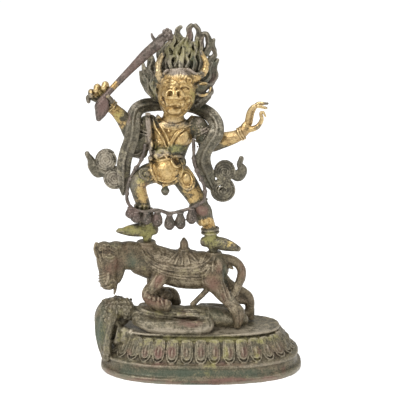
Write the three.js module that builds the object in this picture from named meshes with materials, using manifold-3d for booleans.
// A parcel-gilt bronze statuette: a bull-headed deity dances on a bull, over a figure that
// lies on an oval lotus plinth.
// Millimetres, +Z up, seen from -Y. The origin is the middle of the plinth's underside.
import * as THREE from "three";
import { mergeVertices } from "three/addons/utils/BufferGeometryUtils.js";
import Module from "manifold-3d";

// Driving dimensions
const CLEARANCE = 0.3;
const PLINTH_HALF_LENGTH = 102.5;
const PLINTH_HALF_DEPTH = 62;
const PLINTH_TOP = 43;
const TOP_HALF_LENGTH = 82.5;
const TOP_SHIFT = -2.5;
const TOP_HALF_DEPTH = 35;
const OVAL_POWER = 2.5;
const MOULDING_SIDES = 28;
const PETAL_COUNT = 34;
const PETAL_TOP = 37;
const PETAL_FOOT = 19.5;
const PETAL_SET_BACK = 14;
const PEG_RADIUS = 4;
const SOCKET_RADIUS = 9.5;
const SADDLE_PLEATS = 4;
const SADDLE_PLEAT_SPREAD = 34;
const SCROLL_THICKNESS = 2.6;
const SCARF_HALF_WIDTH = 7;
const BAND_HALF_LENGTH = 2.6;
const BAND_RISE = 2.2;

const wasm = await Module();
wasm.setup();

// Extra skin on every shape while the room that a neighbour needs is worked out
let skin = 0;

// Making solids

function toSolid(geometry) {
  const bare = geometry.clone();
  bare.deleteAttribute("normal");
  bare.deleteAttribute("uv");
  const merged = mergeVertices(bare, 1e-4);
  const corners = merged.index.array;
  const kept = [];
  for (let i = 0; i < corners.length; i += 3) {
    const [a, b, c] = corners.slice(i, i + 3);
    if (a !== b && b !== c && a !== c) {
      kept.push(a, b, c);
    }
  }
  const solid = solidOf(merged.attributes.position.array, kept);
  return solid.volume() < 0 ? solidOf(merged.attributes.position.array, kept.reverse()) : solid;
}

function solidOf(points, corners) {
  const triVerts = new Uint32Array(corners);
  return new wasm.Manifold(new wasm.Mesh({ numProp: 3, vertProperties: points, triVerts }));
}

function joined(solids) {
  return solids.reduce((all, next) => all.add(next));
}

// The largest body of a solid, because a cut can leave crumbs beside it.
function mainBody(solid) {
  const bodies = solid.decompose();
  return bodies.reduce((best, next) => (next.volume() > best.volume() ? next : best));
}

// The room that a neighbour has to leave clear.
function roomFor(build) {
  skin = CLEARANCE;
  const solid = build();
  skin = 0;
  return solid;
}

function roundSection(sides) {
  const section = [];
  for (let side = 0; side < sides; side += 1) {
    const angle = (2 * Math.PI * side) / sides;
    section.push([Math.sin(angle), Math.cos(angle)]);
  }
  return section;
}

// A tube through stations [x, y, z, half width, half depth], with blunt caps.
// The half depth lies along the hint, which is towards the viewer if none is given.
// A ripple swells and pinches every other row. A band is a bracelet or collar round the tube,
// placed by counting stations from the first.
function limb(stations, options = {}) {
  const { sides = 6, steps = 1, hint = [0, -1, 0], cap = 0.5, ripple = 0, bands = [] } = options;
  const section = options.section ?? roundSection(sides);
  const last = stations.length - 1;
  const path = new THREE.CatmullRomCurve3(stations.map(([x, y, z]) => new THREE.Vector3(x, y, z)));
  const sizes = new THREE.SplineCurve(stations.map(([, , , w, d = w]) => new THREE.Vector2(w, d)));
  const places = [];
  for (let row = 0; row <= last * steps; row += 1) {
    places.push({ t: row / (last * steps), scale: 1 + (row % 2 === 0 ? ripple : -ripple), rise: 0 });
  }
  const nearby = 0.05;
  for (const band of bands) {
    const t = band / last;
    const pace = path.getPoint(t + nearby).distanceTo(path.getPoint(t)) / nearby;
    const reach = BAND_HALF_LENGTH / pace;
    places.push({ t: t - reach, scale: 1, rise: 0 });
    places.push({ t, scale: 1, rise: BAND_RISE });
    places.push({ t: t + reach, scale: 1, rise: 0 });
  }
  places.sort((a, b) => a.t - b.t);
  const rows = places.map(({ t, scale, rise }) => {
    const size = sizes.getPoint(t);
    return {
      centre: path.getPoint(t),
      tangent: path.getTangent(t),
      w: size.x * scale + rise,
      d: size.y * scale + rise,
    };
  });
  const capped = [endCap(rows[0], -cap), ...rows, endCap(rows[rows.length - 1], cap)];
  const towards = new THREE.Vector3(...hint);
  const profile = capped.map((row, i) => new THREE.Vector2(row.w === 0 ? 0 : 1, i));
  const lathe = new THREE.LatheGeometry(profile, section.length);
  const position = lathe.attributes.position;
  for (let column = 0; column <= section.length; column += 1) {
    const [across, forward] = section[column % section.length];
    capped.forEach((row, i) => {
      const side = new THREE.Vector3().crossVectors(row.tangent, towards).normalize();
      const up = new THREE.Vector3().crossVectors(side, row.tangent);
      const reach = row.w === 0 ? 0 : 1;
      const point = row.centre.clone();
      point.addScaledVector(side, reach * across * (row.w + skin));
      point.addScaledVector(up, reach * forward * (row.d + skin));
      position.setXYZ(column * capped.length + i, point.x, point.y, point.z);
    });
  }
  return toSolid(lathe);
}

// The point that closes the end of a tube.
function endCap(row, cap) {
  const length = cap * Math.min(row.w, row.d) + Math.sign(cap) * skin;
  return { ...row, centre: row.centre.clone().addScaledVector(row.tangent, length), w: 0, d: 0 };
}

// An egg of three radii, turned about X, Y and Z by degrees.
function ball([x, y, z], [rx, ry, rz], { turn = [0, 0, 0], across = 6, down = 4 } = {}) {
  const sphere = new THREE.SphereGeometry(1, across, down);
  sphere.rotateX(Math.PI / 2);
  sphere.scale(rx + skin, ry + skin, rz + skin);
  turned(sphere, turn);
  sphere.translate(x, y, z);
  return toSolid(sphere);
}

// A ring about Z before it is turned.
function ring([x, y, z], [rx, ry], thickness, { turn = [0, 0, 0], around = 9, sides = 3 } = {}) {
  const tube = 0.5;
  const torus = new THREE.TorusGeometry(1, tube, sides, around);
  const position = torus.attributes.position;
  const growth = (thickness + skin) / tube;
  for (let i = 0; i < position.count; i += 1) {
    const angle = Math.atan2(position.getY(i), position.getX(i));
    const offset = (Math.hypot(position.getX(i), position.getY(i)) - 1) * growth;
    const height = position.getZ(i) * growth;
    position.setXYZ(i, Math.cos(angle) * (rx + offset), Math.sin(angle) * (ry + offset), height);
  }
  turned(torus, turn);
  torus.translate(x, y, z);
  return toSolid(torus);
}

function turned(geometry, [aboutX, aboutY, aboutZ]) {
  geometry.rotateX(THREE.MathUtils.degToRad(aboutX));
  geometry.rotateY(THREE.MathUtils.degToRad(aboutY));
  geometry.rotateZ(THREE.MathUtils.degToRad(aboutZ));
}

// A plinth moulding: levels of [z, half length, half depth] stacked into one oval body.
function ovalStack(levels, sides) {
  const profile = [new THREE.Vector2(0, 0)];
  levels.forEach((level, i) => profile.push(new THREE.Vector2(1, i + 1)));
  profile.push(new THREE.Vector2(0, levels.length + 1));
  const lathe = new THREE.LatheGeometry(profile, sides);
  const position = lathe.attributes.position;
  const rows = profile.length;
  for (let i = 0; i < position.count; i += 1) {
    const row = i % rows;
    const level = levels[Math.min(Math.max(row - 1, 0), levels.length - 1)];
    const column = Math.floor(i / rows) % sides;
    const reach = row === 0 || row === rows - 1 ? 0 : 1;
    const [x, y] = ovalPoint((2 * Math.PI * column) / sides, level[1] + skin, level[2] + skin);
    position.setXYZ(i, reach * x, -reach * y, level[0] + (row === rows - 1 ? skin : 0));
  }
  return toSolid(lathe);
}

function ovalPoint(angle, halfLength, halfDepth) {
  const c = Math.cos(angle);
  const s = Math.sin(angle);
  const flat = 2 / OVAL_POWER;
  return [
    halfLength * Math.sign(c) * Math.abs(c) ** flat,
    halfDepth * Math.sign(s) * Math.abs(s) ** flat,
  ];
}

// Evenly spaced places round an oval, each with its outward direction.
function placesRound(count, halfLength, halfDepth) {
  const fine = 720;
  const points = [];
  for (let i = 0; i <= fine; i += 1) {
    points.push(new THREE.Vector2(...ovalPoint((2 * Math.PI * i) / fine, halfLength, halfDepth)));
  }
  const lengths = [0];
  for (let i = 1; i <= fine; i += 1) {
    lengths.push(lengths[i - 1] + points[i].distanceTo(points[i - 1]));
  }
  const places = [];
  for (let k = 0; k < count; k += 1) {
    const wanted = (lengths[fine] * (k + 0.5)) / count;
    const i = lengths.findIndex((length) => length >= wanted);
    const along = points[i].clone().sub(points[i - 1]).normalize();
    const outward = new THREE.Vector2(along.y, -along.x);
    places.push({ x: points[i].x, y: points[i].y, outward });
  }
  return places;
}

// The plinth with the lying figure

function footMouldings() {
  const [a, b] = [PLINTH_HALF_LENGTH, PLINTH_HALF_DEPTH];
  return ovalStack(
    [
      [0, a - 0.5, b - 0.5],
      [5, a, b],
      [6.5, a - 3, b - 3],
      [15.5, a - 4.5, b - 4.5],
      [PETAL_FOOT - 1, a - 5, b - 5],
    ],
    MOULDING_SIDES,
  );
}

function topMouldings() {
  return ovalStack(
    [
      [PETAL_TOP - 1, TOP_HALF_LENGTH, TOP_HALF_DEPTH + 2],
      [PETAL_TOP + 2, TOP_HALF_LENGTH - 2, TOP_HALF_DEPTH - 1],
      [PLINTH_TOP - 2, TOP_HALF_LENGTH, TOP_HALF_DEPTH + 0.5],
      [PLINTH_TOP, TOP_HALF_LENGTH - 0.5, TOP_HALF_DEPTH],
    ],
    MOULDING_SIDES,
  ).translate([TOP_SHIFT, 0, 0]);
}

// One skirt whose three columns to a petal swell and sink, so that each petal is a raised
// lobe that hangs down to a round tip. Each level is set back from the foot, square to it.
function lotusPetals() {
  const levels = [
    [PETAL_FOOT - 1.5, 0, [0, 0, 0]],
    [PETAL_FOOT + 2, 0.14, [0, 2.8, 2.8]],
    [PETAL_TOP - 4, 0.72, [0, 2.6, 2.6]],
    [PETAL_TOP + 0.5, 1, [0, 0, 0]],
  ];
  const last = levels.length + 1;
  const columns = 3 * PETAL_COUNT;
  const profile = levels.map(([z]) => new THREE.Vector2(1, z));
  profile.unshift(new THREE.Vector2(0, levels[0][0]));
  profile.push(new THREE.Vector2(0, levels[levels.length - 1][0]));
  const lathe = new THREE.LatheGeometry(profile, columns);
  const position = lathe.attributes.position;
  const places = placesRound(columns, PLINTH_HALF_LENGTH - 9, PLINTH_HALF_DEPTH - 9);
  for (let i = 0; i < position.count; i += 1) {
    const row = i % (last + 1);
    const column = Math.floor(i / (last + 1)) % columns;
    if (row === 0 || row === last) {
      position.setXYZ(i, 0, 0, position.getY(i));
      continue;
    }
    const [z, back, lifts] = levels[row - 1];
    const { x, y, outward } = places[column];
    const out = lifts[column % 3] - back * PETAL_SET_BACK;
    position.setXYZ(i, x + out * outward.x, -(y + out * outward.y), z);
  }
  return toSolid(lathe);
}

function lyingFigure() {
  return joined([
    ball([-86, -11, 63], [13.5, 12, 12.5], { across: 8, down: 5 }),
    limb([[-86, -14, 55, 8], [-78, -18, 46, 6]]),
    limb([
      [-78, -9, 60, 7, 7],
      [-66, -10, 57, 9.5, 8],
      [-48, -8, 56, 14, 10],
      [-20, -7, 54, 13, 10],
      [4, -8, 54, 14, 11],
      [30, -6, 50.5, 11, 9],
      [46, 0, 47, 7, 6],
    ], { hint: [0, 0, 1] }),
    limb([
      [0, 6, 54, 9, 9],
      [24, 12, 52, 8.5, 8.5],
      [60, 12, 45.5, 5, 4.5],
    ], { hint: [0, 0, 1] }),
    limb([
      [-64, -17, 54, 8, 7],
      [-49, -27, 50.5, 8, 7],
      [-4, -30, 49, 8, 7],
      [6, -25, 50, 7.5, 7],
      [2, -19, 55, 6.5, 6],
      [-24, -17, 58.5, 4.5, 3],
    ], { sides: 5, hint: [0, 0, 1] }),
    limb([[-60, 8, 56, 8, 7], [-40, 20, 52, 7, 7], [6, 16, 48, 5, 4]], { hint: [0, 0, 1] }),
  ]);
}

function fallingHair() {
  return joined([
    limb([
      [-90, -10, 66, 11, 9],
      [-96.8, -13, 57, 13, 8],
      [-99, -15, 44, 11.5, 7],
      [-98.4, -19, 30, 9.5, 6],
      [-94, -23, 14, 6.5, 5.5],
    ], { hint: [-1, -0.7, 0.1] }),
    limb([[-86, -22, 54, 5, 5], [-86.5, -27, 43, 3.6, 4.5], [-90, -30, 32, 4, 5], [-93, -28, 20, 5, 5]], {
      sides: 4,
      hint: [-0.4, -1, 0.1],
    }),
  ]);
}

function lotusPlinth() {
  return joined([footMouldings(), topMouldings(), lotusPetals(), lyingFigure(), fallingHair()]);
}

// The bull

function bullTrunk() {
  return joined([
    limb([
      [-64, -4, 113, 12, 15.5],
      [-52, -1, 110, 13.5, 18],
      [-34, 0, 104, 14.5, 18.5],
      [-14, 0, 100.5, 15.5, 20],
      [6, 0, 101, 15, 19],
      [20, 0, 106, 12, 13.5],
    ], { sides: 9, hint: [0, 0, 1] }),
    limb([[-58, -3, 115, 11, 14], [-74, -8, 116, 10.5, 13], [-88, -12, 118, 10, 11.5]], {
      sides: 7,
      hint: [0, 0, 1],
    }),
  ]);
}

function bullHead() {
  return joined([
    limb([
      [-92, -14, 126, 13, 7],
      [-93, -17, 115, 12.5, 10],
      [-92.5, -19.5, 102, 10, 9.5],
      [-92.5, -22, 95, 9.6, 9],
      [-92, -21.5, 90.5, 8, 7],
    ], { sides: 7, hint: [-0.35, -1, 0] }),
    limb([[-82, -12, 112, 9, 9], [-81.5, -15, 102, 8, 7], [-84, -17, 94.5, 6, 6]]),
    limb([[-87, -19, 91, 4, 3.5], [-86, -20, 86, 2.2, 2], [-87.5, -20.5, 81, 0.8, 0.8]], { sides: 4 }),
    ball([-102, -19, 125.5], [4.4, 3, 6], { turn: [0, -25, 0] }),
    ball([-81, -17, 122], [6, 2.5, 4], { turn: [0, 20, 0] }),
    limb([[-99, -14, 127, 2.8], [-102.5, -15, 132, 1.6]], { sides: 5 }),
  ]);
}

function bullLegs() {
  return joined([
    limb([
      [-36, -11, 108, 8, 11],
      [-44, -16, 95, 7, 8],
      [-53.5, -18, 80.5, 6.8, 7],
      [-47, -18, 72, 7, 6.5],
      [-33.5, -18, 67.5, 6.6, 6.5],
    ], { hint: [0, -1, 0.01] }),
    limb([
      [-46, 10, 98, 8, 8],
      [-49, 14, 82, 7, 6.5],
      [-42, 15, 72, 7, 6],
      [-30, 15, 70, 6.5, 6],
      [-25, 15, 60, 5.5, 5.5],
    ], { sides: 5, hint: [0, -1, 0.01] }),
    limb([
      [11, -10, 108, 11, 9],
      [11, -13, 96, 12, 8],
      [18, -14.5, 84, 8, 6.5],
      [33, -14.5, 67, 6.2, 5.6],
      [37, -15, 55, 5.6, 5],
      [38.5, -15.5, 43.5, 7.6, 5],
    ], { cap: 0.1 }),
    limb([
      [12, 9, 106, 10, 8],
      [14, 12, 94, 10, 8],
      [28, 13, 80, 6.5, 6],
      [48, 12, 67.5, 5.6, 5],
      [50, 12, 56, 5.2, 4.5],
      [49.5, 12, 44, 5.2, 5],
    ], { cap: 0.1, hint: [0, -1, 0.01] }),
  ]);
}

function bullTail() {
  return limb([
    [15, 0, 113, 5, 6],
    [27, 0, 111.5, 5, 5.5],
    [35, 0, 108.5, 4.8, 5],
    [40.3, -1, 102, 4.8, 4.8],
    [40.8, -2, 93.5, 4.8, 4.8],
    [36.8, -4, 84, 4.6, 4.6],
    [33.3, -6, 76, 4.2, 4.2],
  ]);
}

function saddleAndSockets() {
  const [high, low] = [SOCKET_RADIUS, SOCKET_RADIUS - 1];
  const parts = [
    limb([
      [-47, -5, 124.5, 2],
      [-36, -14.5, 110.5, 2],
      [-12, -16, 103.5, 2],
      [2, -15, 107.5, 2],
      [9, -6, 118, 2],
    ], { sides: 4 }),
    limb([[-44, 8, 121, 2], [-30, 15.2, 107, 2], [-12, 16, 103.5, 2], [8, 9, 116, 2]], { sides: 4 }),
    limb([
      [-54, 0, 122, high],
      [-54, 0, 128.5, high],
      [-54, 0, 131.5, high - 1.5],
    ], { sides: 8, cap: 0.05 }),
    limb([[13, 0, 112, low], [13, 0, 118, low], [13, 0, 121, low - 1.5]], { sides: 8, cap: 0.05 }),
    limb([[-17, -1, 118, 6.5], [-17, -1, 123.5, 4.2], [-17, -1, 129, 4], [-17, -1, 133, 1.8]]),
    limb([[10, -3, 84, 3], [-9, -6, 65, 2.8]], { sides: 5 }),
  ];
  for (let pleat = 0; pleat < SADDLE_PLEATS; pleat += 1) {
    const spread = (pleat / (SADDLE_PLEATS - 1) - 0.5) * SADDLE_PLEAT_SPREAD;
    const fan = [[0.3, -6, 120, 1.4], [0.7, -12, 115.5, 1.6], [1, -14.8, 110, 1.3]];
    parts.push(limb(fan.map(([share, y, z, w]) => [-17 + share * spread, y, z, w]), { sides: 4 }));
  }
  return joined(parts);
}

function bull() {
  return joined([bullTrunk(), bullHead(), bullLegs(), bullTail(), saddleAndSockets()]);
}

// The dancing deity

function torso() {
  return joined([
    limb([
      [-33, 0, 195, 16, 11],
      [-33, 0, 207, 18, 13],
      [-32.5, 0, 219, 17.5, 11],
      [-30, 0, 231, 19, 11.5],
      [-28, 0, 242, 22.5, 12.5],
      [-27.5, 0, 251, 21, 10.5],
      [-27.3, -0.5, 256, 11.5, 9.5],
      [-27, -3, 267, 8.5, 8.5],
    ], { sides: 9, bands: [6] }),
    ball([-33.5, -7, 206], [16.5, 13, 15.5], { across: 9, down: 5 }),
    ring([-33.5, -9, 206], [15.5, 15], 1.9, { turn: [84, 0, 0], around: 8 }),
    ball([-36.5, -9.5, 238], [8, 6, 7.5]),
    ball([-19, -9.5, 238], [8, 6, 7.5]),
    limb([[-35.5, -6, 191, 4], [-35.5, -7, 186.5, 5], [-35.5, -7.5, 183, 3]]),
    limb([
      [-40, -9, 253, 1.5],
      [-34, -14, 244, 1.5],
      [-27.5, -15, 232, 1.5],
      [-21, -14, 244, 1.5],
      [-14, -9, 253, 1.5],
    ], {
      sides: 3,
    }),
    limb([
      [-45, -6, 256, 2.4],
      [-44.5, -12.5, 242, 2.2],
      [-43, -12, 222, 2.2],
      [-30, -14, 221, 2.6],
    ], { sides: 4 }),
    limb([[-22, -11, 222, 2.6], [-17, -12, 214, 3], [-19, -14, 207, 1.8]], { sides: 4 }),
  ]);
}

// Each leg runs from the hip to the peg below the foot.
function legs() {
  return joined([
    limb([
      [-42, 0, 202, 11, 11],
      [-54, -8, 201, 10.5, 10.5],
      [-62, -14, 194.5, 9, 9.5],
      [-61, -12, 184, 7.8, 8],
      [-58, -9, 173, 7.4, 7.5],
      [-53.5, -1, 150, 6, 6],
      [-54, 0, 138, 5.5, 5.5],
      [-54, 0, 131, PEG_RADIUS],
      [-54, 0, 125, PEG_RADIUS],
    ], { sides: 7, hint: [0.3, -1, 0.3], cap: 0.2, bands: [5] }),
    limb([
      [-22, 0, 202, 11, 11],
      [-14, -4, 191, 11, 10.5],
      [-6, -8, 179, 9.5, 9.5],
      [0, -9, 168, 8.6, 9],
      [8, -2, 147, 6.6, 7],
      [10, 0, 133, 6.5, 6.4],
      [12, 0, 121, PEG_RADIUS],
      [13, 0, 115, PEG_RADIUS],
    ], { sides: 7, hint: [0.3, -1, 0], cap: 0.2, bands: [4.4] }),
    limb([
      [-46, 3, 141.5, 5, 4.6],
      [-54, 0, 142.5, 6, 6.2],
      [-66, -5, 142.5, 6.2, 5.4],
      [-76, -9, 143, 4.8, 3.8],
      [-84, -12, 144, 2.4, 2],
    ], { hint: [0, 0, 1] }),
    limb([
      [2, 2, 129.5, 5, 5],
      [11, 0, 129.5, 6, 6.8],
      [22, -3.5, 128, 5.8, 5.6],
      [31, -6.5, 126.3, 4.6, 4],
      [38.5, -8.5, 124.5, 2.4, 2],
    ], { hint: [0, 0, 1] }),
  ]);
}

function raisedArm() {
  return joined([
    limb([
      [-47, 1, 252, 8.5, 8.5],
      [-54, 0, 249, 9.8, 9.4],
      [-58.5, -2, 236, 10, 8.8],
      [-62, -4, 221, 9, 7.6],
    ], { sides: 7, hint: [0, -1, 0.01], bands: [1.5] }),
    limb([
      [-62.5, -4, 222, 8, 6.8],
      [-69, -5.5, 243, 8.4, 7.2],
      [-77.5, -7.5, 259, 7.4, 6.4],
      [-87, -9, 269, 5.8, 5.6],
      [-96, -10, 278, 7, 5],
    ], { sides: 7, hint: [0, -1, 0.01], bands: [3.2] }),
    limb([[-91, -11, 282, 3], [-92.5, -15, 293, 3.4], [-94, -21.5, 290.5, 2.6]], { sides: 4 }),
    limb([[-96, -10, 282, 3], [-100.5, -15, 290.5, 3.2], [-101.5, -21.5, 288, 2.6]], { sides: 4 }),
    limb([[-100, -10, 280, 3], [-106.5, -14.5, 285.5, 3.1], [-106.5, -20.5, 282.5, 2.4]], { sides: 4 }),
    limb([[-101, -9, 276, 2.8], [-109, -13.5, 280, 2.8], [-109, -18.5, 276.5, 2.2]], { sides: 4 }),
    limb([
      [-88, -12, 273, 2.8],
      [-87, -17, 277, 2.8],
      [-90, -21, 282, 2.3],
    ], { sides: 4, hint: [1, 0, 0] }),
  ]);
}

function loweredArm() {
  return joined([
    limb([
      [-9, 1, 251, 8.5, 8.5],
      [-3, 1, 248, 9.6, 9.4],
      [3, -1, 238.5, 9.2, 8.8],
      [8, -3, 231.5, 8.6, 8],
      [20, -3.5, 234.5, 8.4, 7.8],
      [38, -6, 241, 6, 6.4],
      [46, -6.5, 250, 6, 4],
    ], { sides: 7, hint: [0, -1, 0.01], bands: [1.6, 5] }),
    limb([
      [45, -6, 251, 3],
      [48, -6.5, 265, 2.5],
      [53, -8.5, 271, 2.4],
      [64, -10.5, 267.5, 1.6],
    ], { sides: 4 }),
    limb([[48, -4, 252, 2.8], [51.5, -3, 264, 2.4], [59, -4, 271.5, 2]], { sides: 4 }),
    limb([
      [46, -7, 246, 3.2],
      [55, -9.5, 249.5, 2.8],
      [59.5, -10, 257, 2.2],
      [57.5, -10, 263.5, 1.7],
    ], { sides: 4 }),
  ]);
}

function bullFace() {
  const fringe = [-2, -1, 0, 1, 2].map((tuft) => [
    -21.6 + 5.8 * tuft,
    -16 + 1.4 * tuft * tuft,
    299 - 0.4 * tuft * tuft,
    4.2,
    3,
  ]);
  return joined([
    limb([
      [-25.2, -12, 262, 9, 8],
      [-25, -12, 268, 14.5, 12],
      [-24.2, -9, 278, 18.4, 15.5],
      [-22.8, -6, 289, 18.6, 16.5],
      [-21.8, -4, 298, 16.5, 14],
      [-21.4, -2.5, 303.5, 11, 9],
    ], { sides: 10, cap: 0.3 }),
    ball([-26.2, -21, 283.5], [11.5, 8.5, 6.5], { across: 7, turn: [0, 3, -8] }),
    ball([-31.2, -27.5, 284.5], [3.6, 2.6, 3.2], { across: 5 }),
    ball([-21.4, -27.5, 284], [3.6, 2.6, 3.2], { across: 5 }),
    limb([[-41, -14, 277.5, 2], [-34, -21.5, 274, 2.4], [-17, -21.5, 273, 2.4], [-9.5, -14, 276, 2]], {
      sides: 5,
      hint: [0, -1, 0.01],
    }),
    ball([-31.4, -20.5, 291.6], [3.6, 2.6, 2.4], { across: 5 }),
    ball([-15.6, -20.5, 289.6], [3.6, 2.6, 2.4], { across: 5 }),
    limb([[-38, -15, 295.5, 1.8], [-31, -19.5, 297, 2.2], [-25.5, -20, 292.5, 1.8]], { sides: 4 }),
    limb([[-8, -15, 293.5, 1.8], [-15, -19.5, 295.5, 2.2], [-21, -20, 291.8, 1.8]], { sides: 4 }),
    limb(fringe, { sides: 5, steps: 2, ripple: 0.18, hint: [0, -1, 0.01] }),
    limb([[-37, -5, 288, 3], [-45, -4, 288, 3.4, 2], [-49, -3, 286, 1.4, 1.2]], { sides: 5 }),
    limb([[-10, -5, 286.5, 3], [0, -4, 286.5, 4, 2.2], [6.4, -3, 288, 1.6, 1.2]], { sides: 5 }),
  ]);
}

function horns() {
  const left = [
    [-33, -9, 293, 4.4],
    [-38.5, -9, 297, 4],
    [-41.6, -8.5, 304, 3.7],
    [-41.2, -7, 312, 3.3],
    [-37.3, -5, 320.5, 2.4],
  ];
  const right = [
    [-9.6, -8, 295.5, 4.4],
    [-2.5, -7, 299, 4],
    [3.5, -6, 304.5, 3.7],
    [5, -5, 312, 3.3],
    [0, -3, 322.5, 2.4],
  ];
  return joined([left, right].map((horn) => limb(horn, { sides: 6 })));
}

function yamantaka() {
  return joined([torso(), legs(), raisedArm(), loweredArm(), bullFace(), horns()]);
}

// The flaming hair
// Each lock is a list of [x, y, z, half width].
const LOCKS = [
  [
    [-22, 7, 322, 5.2],
    [-20, 8, 331, 4.4],
    [-23, 8, 338.5, 3.4],
    [-22.3, 8, 343, 2.6],
    [-19.5, 8, 345.5, 1.8],
  ],
  [
    [-15, 7, 320, 5.2],
    [-12.8, 8, 329, 4.4],
    [-10.8, 8, 337, 3.4],
    [-11.6, 8, 343.5, 2.9],
    [-9, 8, 347, 2.1],
  ],
  [[-7, 8, 318, 4.6], [-3.6, 9, 327, 3.7], [-3, 9, 335, 2.9], [-2.4, 9, 342, 2.5], [-5.6, 8, 347, 2]],
  [[-3, 8, 314, 4.6], [-0.6, 9, 326, 3.4], [0.3, 9, 334, 2.8], [2.5, 10, 338, 2.5], [5.3, 10, 338, 2.3],
    [7.4, 10, 333, 2.8], [7.8, 10, 326, 3.2], [5, 9, 319, 3.4]],
  [
    [3, 8, 303, 4.6],
    [9.4, 10, 312.5, 3],
    [13.6, 10, 317.5, 2.5],
    [13.2, 10, 322, 2.3],
    [11.6, 10, 327.5, 2.1],
    [12.8, 10, 333, 1.4],
  ],
  [[0, 8, 286, 5.8], [9, 9, 291, 4.4], [14, 9, 297.5, 3.4], [13, 10, 305, 3], [16.5, 10, 313, 1.6]],
  [[-1, 8, 297, 5.8], [7, 9, 302, 4.6], [10.4, 10, 308.5, 3.4], [9.4, 10, 315, 2.5]],
  [[-3, 8, 275, 5.2], [5, 8, 277.2, 3.2], [10.4, 8, 281, 2.5], [9.4, 8, 287, 1.8]],
  [[-3, 8, 270, 4.6], [4, 8, 273.5, 3.2], [8.3, 8, 276.5, 2.1]],
  [[-42, 8, 278, 6.3], [-51, 9, 285, 4.8], [-57, 9, 293, 3.2], [-60, 10, 301, 1.4]],
  [[-42, 8, 289, 6.3], [-51, 9, 296, 4.6], [-55.5, 9, 303, 3], [-57, 10, 309, 1.5]],
  [[-42, 8, 299, 6.3], [-48, 9, 307, 4.6], [-49.5, 9, 315, 3.4], [-52, 9, 320, 1.8]],
  [[-36, 8, 310, 5.8], [-39, 9, 319, 4.4], [-36.5, 8, 325, 3.4], [-38.5, 8, 331, 1.8]],
  [[-30, 7, 318, 5.8], [-31, 8, 326, 4.4], [-28, 8, 332, 3.4], [-29, 8, 338, 1.8]],
];
const CREST_LOCKS = [
  [[-34, -1, 304, 3.2], [-35, 0, 311, 3.7], [-31, 1, 319, 3.4], [-32, 2, 328, 2.3]],
  [[-28, -2, 305, 3.2], [-27, -2, 313, 3.4], [-30, 0, 320, 3.2], [-26, 1, 330, 2.5]],
  [[-21.5, -3, 306, 3.9], [-21.5, -4, 314, 4.1], [-21.5, -2, 322, 3.4], [-20, 1, 332, 2.3]],
  [[-15.5, -2, 305, 3.2], [-16, -2, 313, 3.4], [-12.5, 0, 320, 3.2], [-15.5, 1, 330, 2.5]],
  [[-9, -1, 303, 3.2], [-7, 0, 311, 3.4], [-9.5, 1, 319, 3.2], [-6, 2, 328, 2.3]],
];

function flamingHair() {
  const parts = [
    ball([-20.5, 9, 292], [28, 7, 31], { across: 10, down: 5 }),
  ];
  for (const lock of [...LOCKS, ...CREST_LOCKS]) {
    parts.push(limb(lock, { sides: 3 }));
  }
  return joined(parts);
}

// The scarf

// Half a ribbon's cross-section faces the viewer with three ridges; the back is plain.
const FLUTED = [
  [0, 1],
  [0.35, 0.5],
  [0.7, 1],
  [1, 0],
  [0, -1],
  [-1, 0],
  [-0.7, 1],
  [-0.35, 0.5],
];

// A coiled scarf end: a dish with a raised rim, a groove and a raised eye.
function scroll([x, y, z], radius) {
  const rings = [
    [0.28, 0.9],
    [0.5, 0.4],
    [0.78, 1],
    [1, 0],
    [0.75, -0.8],
  ];
  const profile = rings.map(
    ([out, rise]) => new THREE.Vector2(out * radius + skin, -(SCROLL_THICKNESS + skin) * rise),
  );
  profile.unshift(new THREE.Vector2(0, profile[0].y));
  profile.push(new THREE.Vector2(0, profile[profile.length - 1].y));
  const dish = new THREE.LatheGeometry(profile, 10);
  dish.translate(x, y, z);
  return toSolid(dish);
}

function scarf() {
  const w = SCARF_HALF_WIDTH;
  return joined([
    limb([
      [-27, 17, 266.5, w - 1, 3],
      [-43.6, 13, 267.5, w - 0.5, 3],
      [-55.3, 8, 267.5, w, 3],
      [-63, 0, 264.5, w, 3.2],
      [-66, -9, 258, w, 3.2],
      [-66.5, -15, 249, w, 3.2],
      [-68.3, -16.5, 238, w, 3.2],
      [-72.5, -13.5, 226, w, 3.2],
      [-75.8, -8, 213, w, 3.2],
      [-76.8, -2, 200, w - 0.5, 3.2],
      [-77, 2, 188, w - 1, 3],
      [-77, 4, 179.5, w - 2.5, 2.6],
    ], { section: FLUTED, hint: [0, -1, 0.45] }),
    limb([
      [-27, 17, 266.5, w - 1, 3],
      [-9, 14, 265.5, w - 0.5, 3],
      [2, 9, 262.5, w, 3],
      [11, 1, 257.5, w, 3.2],
      [15.5, -9, 250, w, 3.2],
      [14, -15.5, 242, w + 0.3, 3.2],
      [8, -17, 233.5, w - 0.5, 3.2],
      [3, -14.5, 223.5, w, 3.2],
      [1.5, -9, 212.5, w + 1.5, 3.2],
      [5, -2, 200.5, w + 1.5, 3.2],
      [10, 3, 188, w - 1, 3.2],
    ], { section: FLUTED, hint: [0, -1, 0.45] }),
    scroll([-86, 4, 195], 12),
    scroll([-94.5, 4, 213.5], 11),
    scroll([22, 4, 182.5], 12.6),
    scroll([23.5, 4, 202], 11),
    limb([
      [-97, 4, 200, 4, 2.6],
      [-103, 4, 201, 6, 3],
      [-107.5, 4, 207, 5.5, 3],
      [-109.5, 3, 213.5, 3.6, 2.8],
      [-113, 2, 219.5, 2.6, 2.6],
    ]),
    limb([
      [31, 4, 197, 3.5, 2.6],
      [37.5, 4, 197.5, 6, 3],
      [41, 4, 203, 5, 3],
      [38.5, 3, 209.5, 3, 2.8],
      [40, 2, 214.5, 2.8, 2.6],
    ]),
  ]);
}

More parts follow.
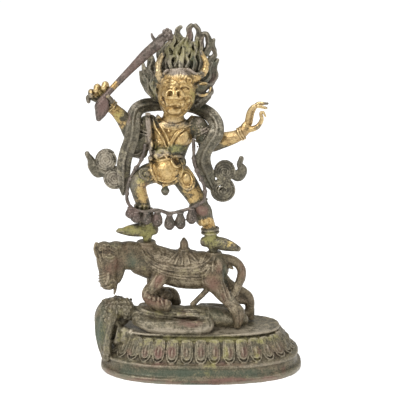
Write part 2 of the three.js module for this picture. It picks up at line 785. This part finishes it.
// The garland of heads
const GARLAND = [
  [-58, -13, 216],
  [-66, -15, 206],
  [-72, -17, 190],
  [-72.5, -17, 176],
  [-66, -19, 168.5],
  [-55, -20, 166.5],
  [-43, -19, 168],
  [-32, -18, 164.5],
  [-18.5, -17, 166.5],
  [-7, -17, 171],
  [3, -19, 178],
  [3, -17, 192],
  [-3, -15, 204],
  [-7, -12, 214],
];
// Each head's place along the garland, counted in garland points, and its length.
const HEADS = [
  [3.3, 15],
  [4.2, 12],
  [5.1, 13],
  [6.15, 14],
  [7.25, 17],
  [8.05, 14],
  [8.9, 14],
];

function garland() {
  const parts = [limb(GARLAND.map(([x, y, z]) => [x, y, z, 2]), { sides: 3 })];
  const chain = new THREE.CatmullRomCurve3(GARLAND.map(([x, y, z]) => new THREE.Vector3(x, y, z)));
  for (const [place, length] of HEADS) {
    const { x, y, z } = chain.getPoint(place / (GARLAND.length - 1));
    const head = [[0.5, 2.2], [-0.68 * length, 4.8], [1.2 - length, 2.8]];
    parts.push(limb(head.map(([drop, w]) => [x, y, z + drop, w]), { sides: 4 }));
  }
  return joined(parts);
}

// The club

function club() {
  return joined([
    limb([
      [-98.5, -21, 276, 3],
      [-84, -17, 291, 3.1],
      [-67.6, -15.5, 307.7, 3.7],
      [-52, -14.5, 323, 5],
      [-42.5, -13.5, 331, 5.3],
      [-37, -12.3, 335.4, 4.2],
      [-33.5, -11, 338.3, 3.5],
    ]),
    ball([-32.2, -10.5, 339.5], [5.4, 5, 5.4], { across: 7, down: 5 }),
    ball([-30, -10.5, 343], [2.6, 2.6, 2.6], { across: 5 }),
    ball([-35, -10.5, 343.5], [2.4, 2.4, 2.4], { across: 5 }),
    limb([[-43, -13, 334, 1.8], [-46.5, -13, 338.5, 1.6], [-47.5, -13, 342, 0.9]], { sides: 4 }),
    limb([
      [-94, -20, 278, 5, 4.5],
      [-96, -21, 271, 7.5, 5],
      [-98, -20, 264, 5, 4],
      [-100, -19, 258, 2, 1.6],
    ]),
  ]);
}

// Putting the pieces together

const plinthSolid = lotusPlinth();
const figureSolid = yamantaka();
const figureRoom = roomFor(yamantaka);
const hairSolid = mainBody(flamingHair().subtract(figureRoom));
const hairRoom = roomFor(flamingHair);
const clubSolid = mainBody(club().subtract(figureRoom).subtract(hairRoom));
const scarfSolid = mainBody(scarf().subtract(figureRoom).subtract(hairRoom));
const scarfRoom = roomFor(scarf);
const garlandSolid = mainBody(garland().subtract(figureRoom).subtract(scarfRoom));
const bullSolid = mainBody(bull().subtract(roomFor(lotusPlinth)).subtract(figureRoom));

const BRONZE = { color: 0x5c5440, roughness: 0.5, metalness: 0.85 };
const RED_BRONZE = { color: 0x5d4a3c, roughness: 0.45, metalness: 0.85 };
const GILT = { color: 0xb08d4a, roughness: 0.38, metalness: 0.9 };
const DARK_BRONZE = { color: 0x4b4a3e, roughness: 0.5, metalness: 0.85 };

function meshOf(name, solid, finish) {
  const { vertProperties, triVerts, numProp } = solid.getMesh();
  const geometry = new THREE.BufferGeometry();
  const points = new Float32Array((vertProperties.length / numProp) * 3);
  for (let i = 0; i < points.length / 3; i += 1) {
    points.set(vertProperties.subarray(i * numProp, i * numProp + 3), i * 3);
  }
  geometry.setAttribute("position", new THREE.BufferAttribute(points, 3));
  geometry.setIndex(new THREE.BufferAttribute(triVerts, 1));
  geometry.computeVertexNormals();
  const mesh = new THREE.Mesh(geometry, new THREE.MeshStandardMaterial(finish));
  mesh.name = name;
  return mesh;
}

const statuette = new THREE.Group();
statuette.name = "yamantaka_statuette";
statuette.add(
  meshOf("lotus_plinth", plinthSolid, BRONZE),
  meshOf("bull", bullSolid, RED_BRONZE),
  meshOf("yamantaka_figure", figureSolid, GILT),
  meshOf("flaming_hair", hairSolid, DARK_BRONZE),
  meshOf("celestial_scarf", scarfSolid, DARK_BRONZE),
  meshOf("garland_of_heads", garlandSolid, RED_BRONZE),
  meshOf("club", clubSolid, RED_BRONZE),
);

export default statuette;
